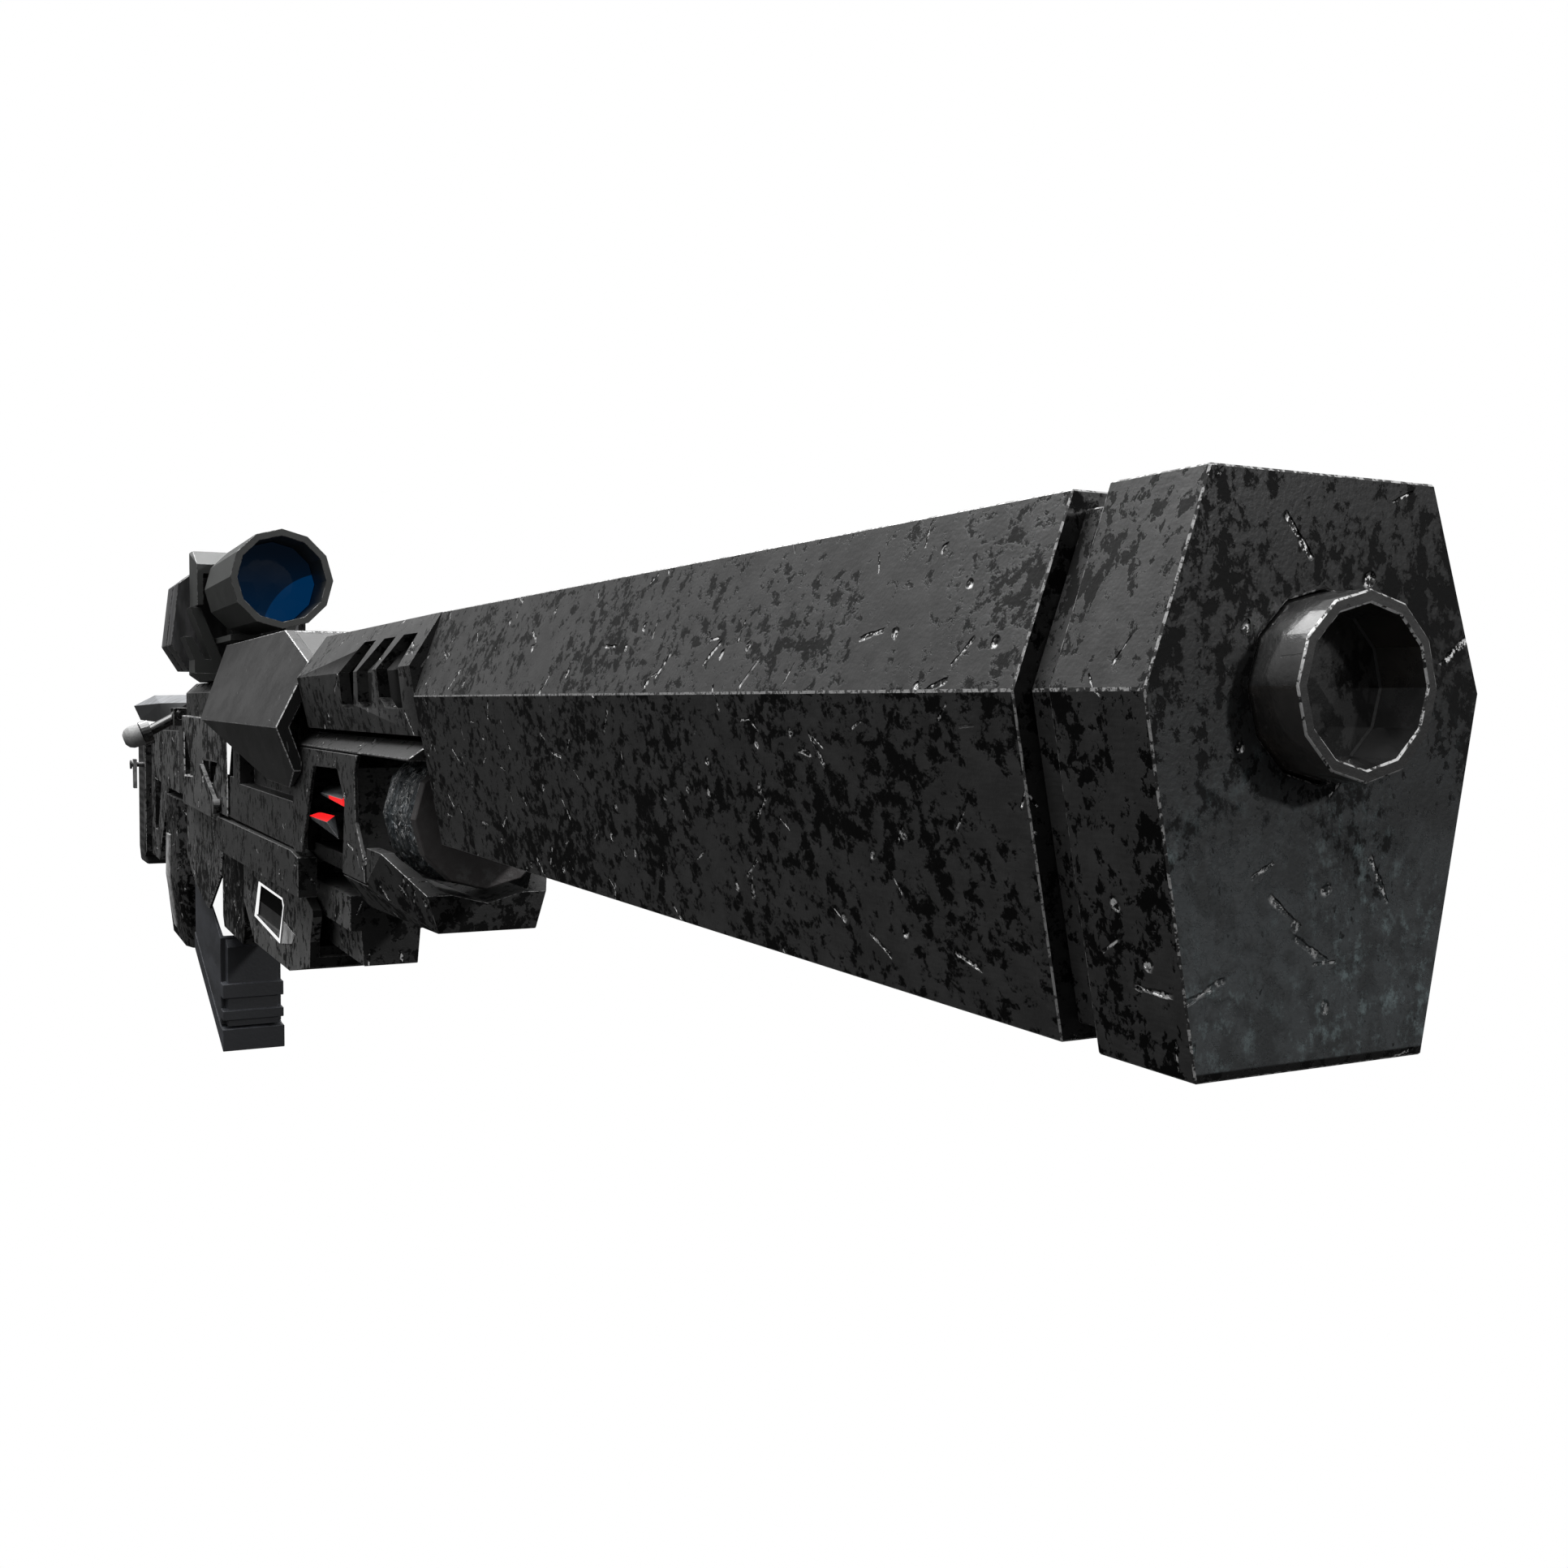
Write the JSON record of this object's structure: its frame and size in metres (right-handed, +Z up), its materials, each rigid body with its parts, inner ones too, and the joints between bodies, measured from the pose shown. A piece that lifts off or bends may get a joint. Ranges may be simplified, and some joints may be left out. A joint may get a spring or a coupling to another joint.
{
  "type": "prop rifle",
  "caption": "Non-firing science fiction display rifle: hexagonal shroud, lit bay with a canister, battery magazine, scope on a raised mount and an adjustable stock.",
  "frame": {"origin": "on the flat front face of the muzzle, at the height of the side ridges and on the centre plane; the blind floor of the muzzle tube lies in that plane", "axes": "+X runs forwards out of the muzzle, +Y is the prop's left side, +Z is up"},
  "size_m": [1.339, 0.1004, 0.2795],
  "materials": {
    "mottled_paint": "dark grey paint, satin, mottled and worn pale along its edges",
    "tube_black": "gloss black enamel",
    "dark_interior": "matt black",
    "spine_aluminium": "satin",
    "scope_paint": "smooth greenish grey, satin",
    "lens_glass": "deep blue coated glass",
    "magazine_polymer": "bluish grey, satin",
    "canister_steel": "dark bluish steel, crumpled",
    "red_light": "translucent red, lit",
    "white_light": "opal white",
    "grip_rubber": "matt",
    "pale_polymer": "light grey, worn",
    "knob_steel": "satin",
    "pin_steel": "bare",
    "board_green": "solder mask green",
    "battery_wrap": "blue shrink wrap"
  },
  "bodies": {
    "frame": {"muzzle_block": "mottled_paint", "muzzle_neck": "mottled_paint", "barrel_shroud": "mottled_paint", "vent_housing": "mottled_paint", "receiver_cover": "mottled_paint", "receiver_core": "mottled_paint", "side_panel_right": "mottled_paint", "side_panel_left": "mottled_paint", "frame_rail_right": "mottled_paint", "frame_rail_left": "mottled_paint", "top_rail": "mottled_paint", "bracket_plate_right": "mottled_paint", "bracket_plate_left": "mottled_paint", "bracket_roof": "mottled_paint", "canister_cradle": "mottled_paint", "lower_block": "mottled_paint", "lower_frame": "mottled_paint", "mag_well": "mottled_paint", "trigger_guard": "mottled_paint", "stock_frame": "mottled_paint", "muzzle_tube": "tube_black", "vent_core": "dark_interior", "light_housing": "dark_interior", "trigger_switch": "dark_interior", "spine_tube": "spine_aluminium", "scope_tube": "scope_paint", "scope_hood": "scope_paint", "scope_side_box": "scope_paint", "scope_mount": "scope_paint", "objective_lens": "lens_glass", "light_slat_lower": "red_light", "light_slat_upper": "red_light", "window_lamp": "white_light", "marker_lamp": "white_light", "status_lamp": "white_light", "foregrip": "grip_rubber", "pistol_grip": "grip_rubber", "cover_nose": "pale_polymer", "grip_strip": "pale_polymer", "control_board": "board_green"},
    "magazine": {"magazine_body": "magazine_polymer", "magazine_base": "magazine_polymer", "battery_pack": "battery_wrap"},
    "magazine_catch": {"magazine_catch": "pin_steel"},
    "trigger": {"trigger": "tube_black"},
    "switch_plunger": {"switch_plunger": "white_light"},
    "mode_lever": {"mode_lever": "pin_steel"},
    "canister": {"canister_body": "canister_steel", "canister_band": "canister_steel", "canister_cap": "tube_black"},
    "side_lever": {"side_lever": "tube_black"},
    "side_knob": {"side_knob": "knob_steel"},
    "cheek_rest": {"cheek_rest": "pale_polymer"},
    "butt": {"butt_plate": "mottled_paint", "butt_pad": "grip_rubber"},
    "sling_loop": {"sling_loop": "pin_steel"},
    "elevation_dial": {"elevation_dial": "tube_black"},
    "windage_dial": {"windage_dial": "tube_black"},
    "eyepiece": {"eyepiece_ring": "scope_paint", "ocular_lens": "lens_glass"}
  },
  "joints": [
    {"name": "magazine_slide", "type": "slide", "parent": "frame", "child": "magazine", "axis": [0, 0, -1], "range_m": [0, 0.09]},
    {"name": "magazine_catch_pivot", "type": "hinge", "parent": "frame", "child": "magazine_catch", "pos_m": [-0.91585, 0, -0.0949], "axis": [0, 1, 0], "range_deg": [0, 5]},
    {"name": "trigger_pivot", "type": "hinge", "parent": "frame", "child": "trigger", "pos_m": [-0.93925, 0, -0.052], "axis": [0, 1, 0], "range_deg": [0, 8], "stiffness_Nm_per_rad": 0.4},
    {"name": "switch_travel", "type": "slide", "parent": "frame", "child": "switch_plunger", "axis": [1, 0, 0], "range_m": [0, 0.00135]},
    {"name": "mode_lever_pivot", "type": "hinge", "parent": "frame", "child": "mode_lever", "pos_m": [-0.702, -0.02795, -0.0546], "axis": [0, 1, 0], "range_deg": [-15, 25]},
    {"name": "canister_turn", "type": "hinge", "parent": "frame", "child": "canister", "pos_m": [-0.338, 0, -0.03542], "axis": [1, 0, 0], "range_deg": [0, 30]},
    {"name": "side_lever_fold", "type": "hinge", "parent": "frame", "child": "side_lever", "pos_m": [-0.91, -0.02405, -0.01073], "axis": [-1, 0, 0], "range_deg": [0, 60]},
    {"name": "side_knob_turn", "type": "hinge", "parent": "side_lever", "child": "side_knob", "pos_m": [-0.91, -0.0455, -0.02223], "axis": [0, -0.9493, -0.3144], "continuous": true},
    {"name": "cheek_rest_lift", "type": "slide", "parent": "frame", "child": "cheek_rest", "axis": [0, 0, 1], "range_m": [0, 0.015]},
    {"name": "butt_slide", "type": "slide", "parent": "frame", "child": "butt", "axis": [-1, 0, 0], "range_m": [0, 0.04]},
    {"name": "sling_loop_swing", "type": "hinge", "parent": "butt", "child": "sling_loop", "pos_m": [-1.2584, -0.02275, -0.05395], "axis": [0, 1, 0], "range_deg": [-70, 70]},
    {"name": "elevation_turn", "type": "hinge", "parent": "frame", "child": "elevation_dial", "pos_m": [-0.8619, 0, 0.07319], "axis": [0, 0, 1], "continuous": true},
    {"name": "windage_turn", "type": "hinge", "parent": "frame", "child": "windage_dial", "pos_m": [-0.8619, 0.03367, 0.0455], "axis": [0, 0.9992, 0.04], "continuous": true},
    {"name": "eyepiece_turn", "type": "hinge", "parent": "frame", "child": "eyepiece", "pos_m": [-0.90389, 0, 0.0585], "axis": [1, 0, 0], "range_deg": [-90, 90]}
  ],
  "couplings": [
    {"joint": "switch_travel", "follows": "trigger_pivot", "m_per_rad": 0.0093}
  ]
}
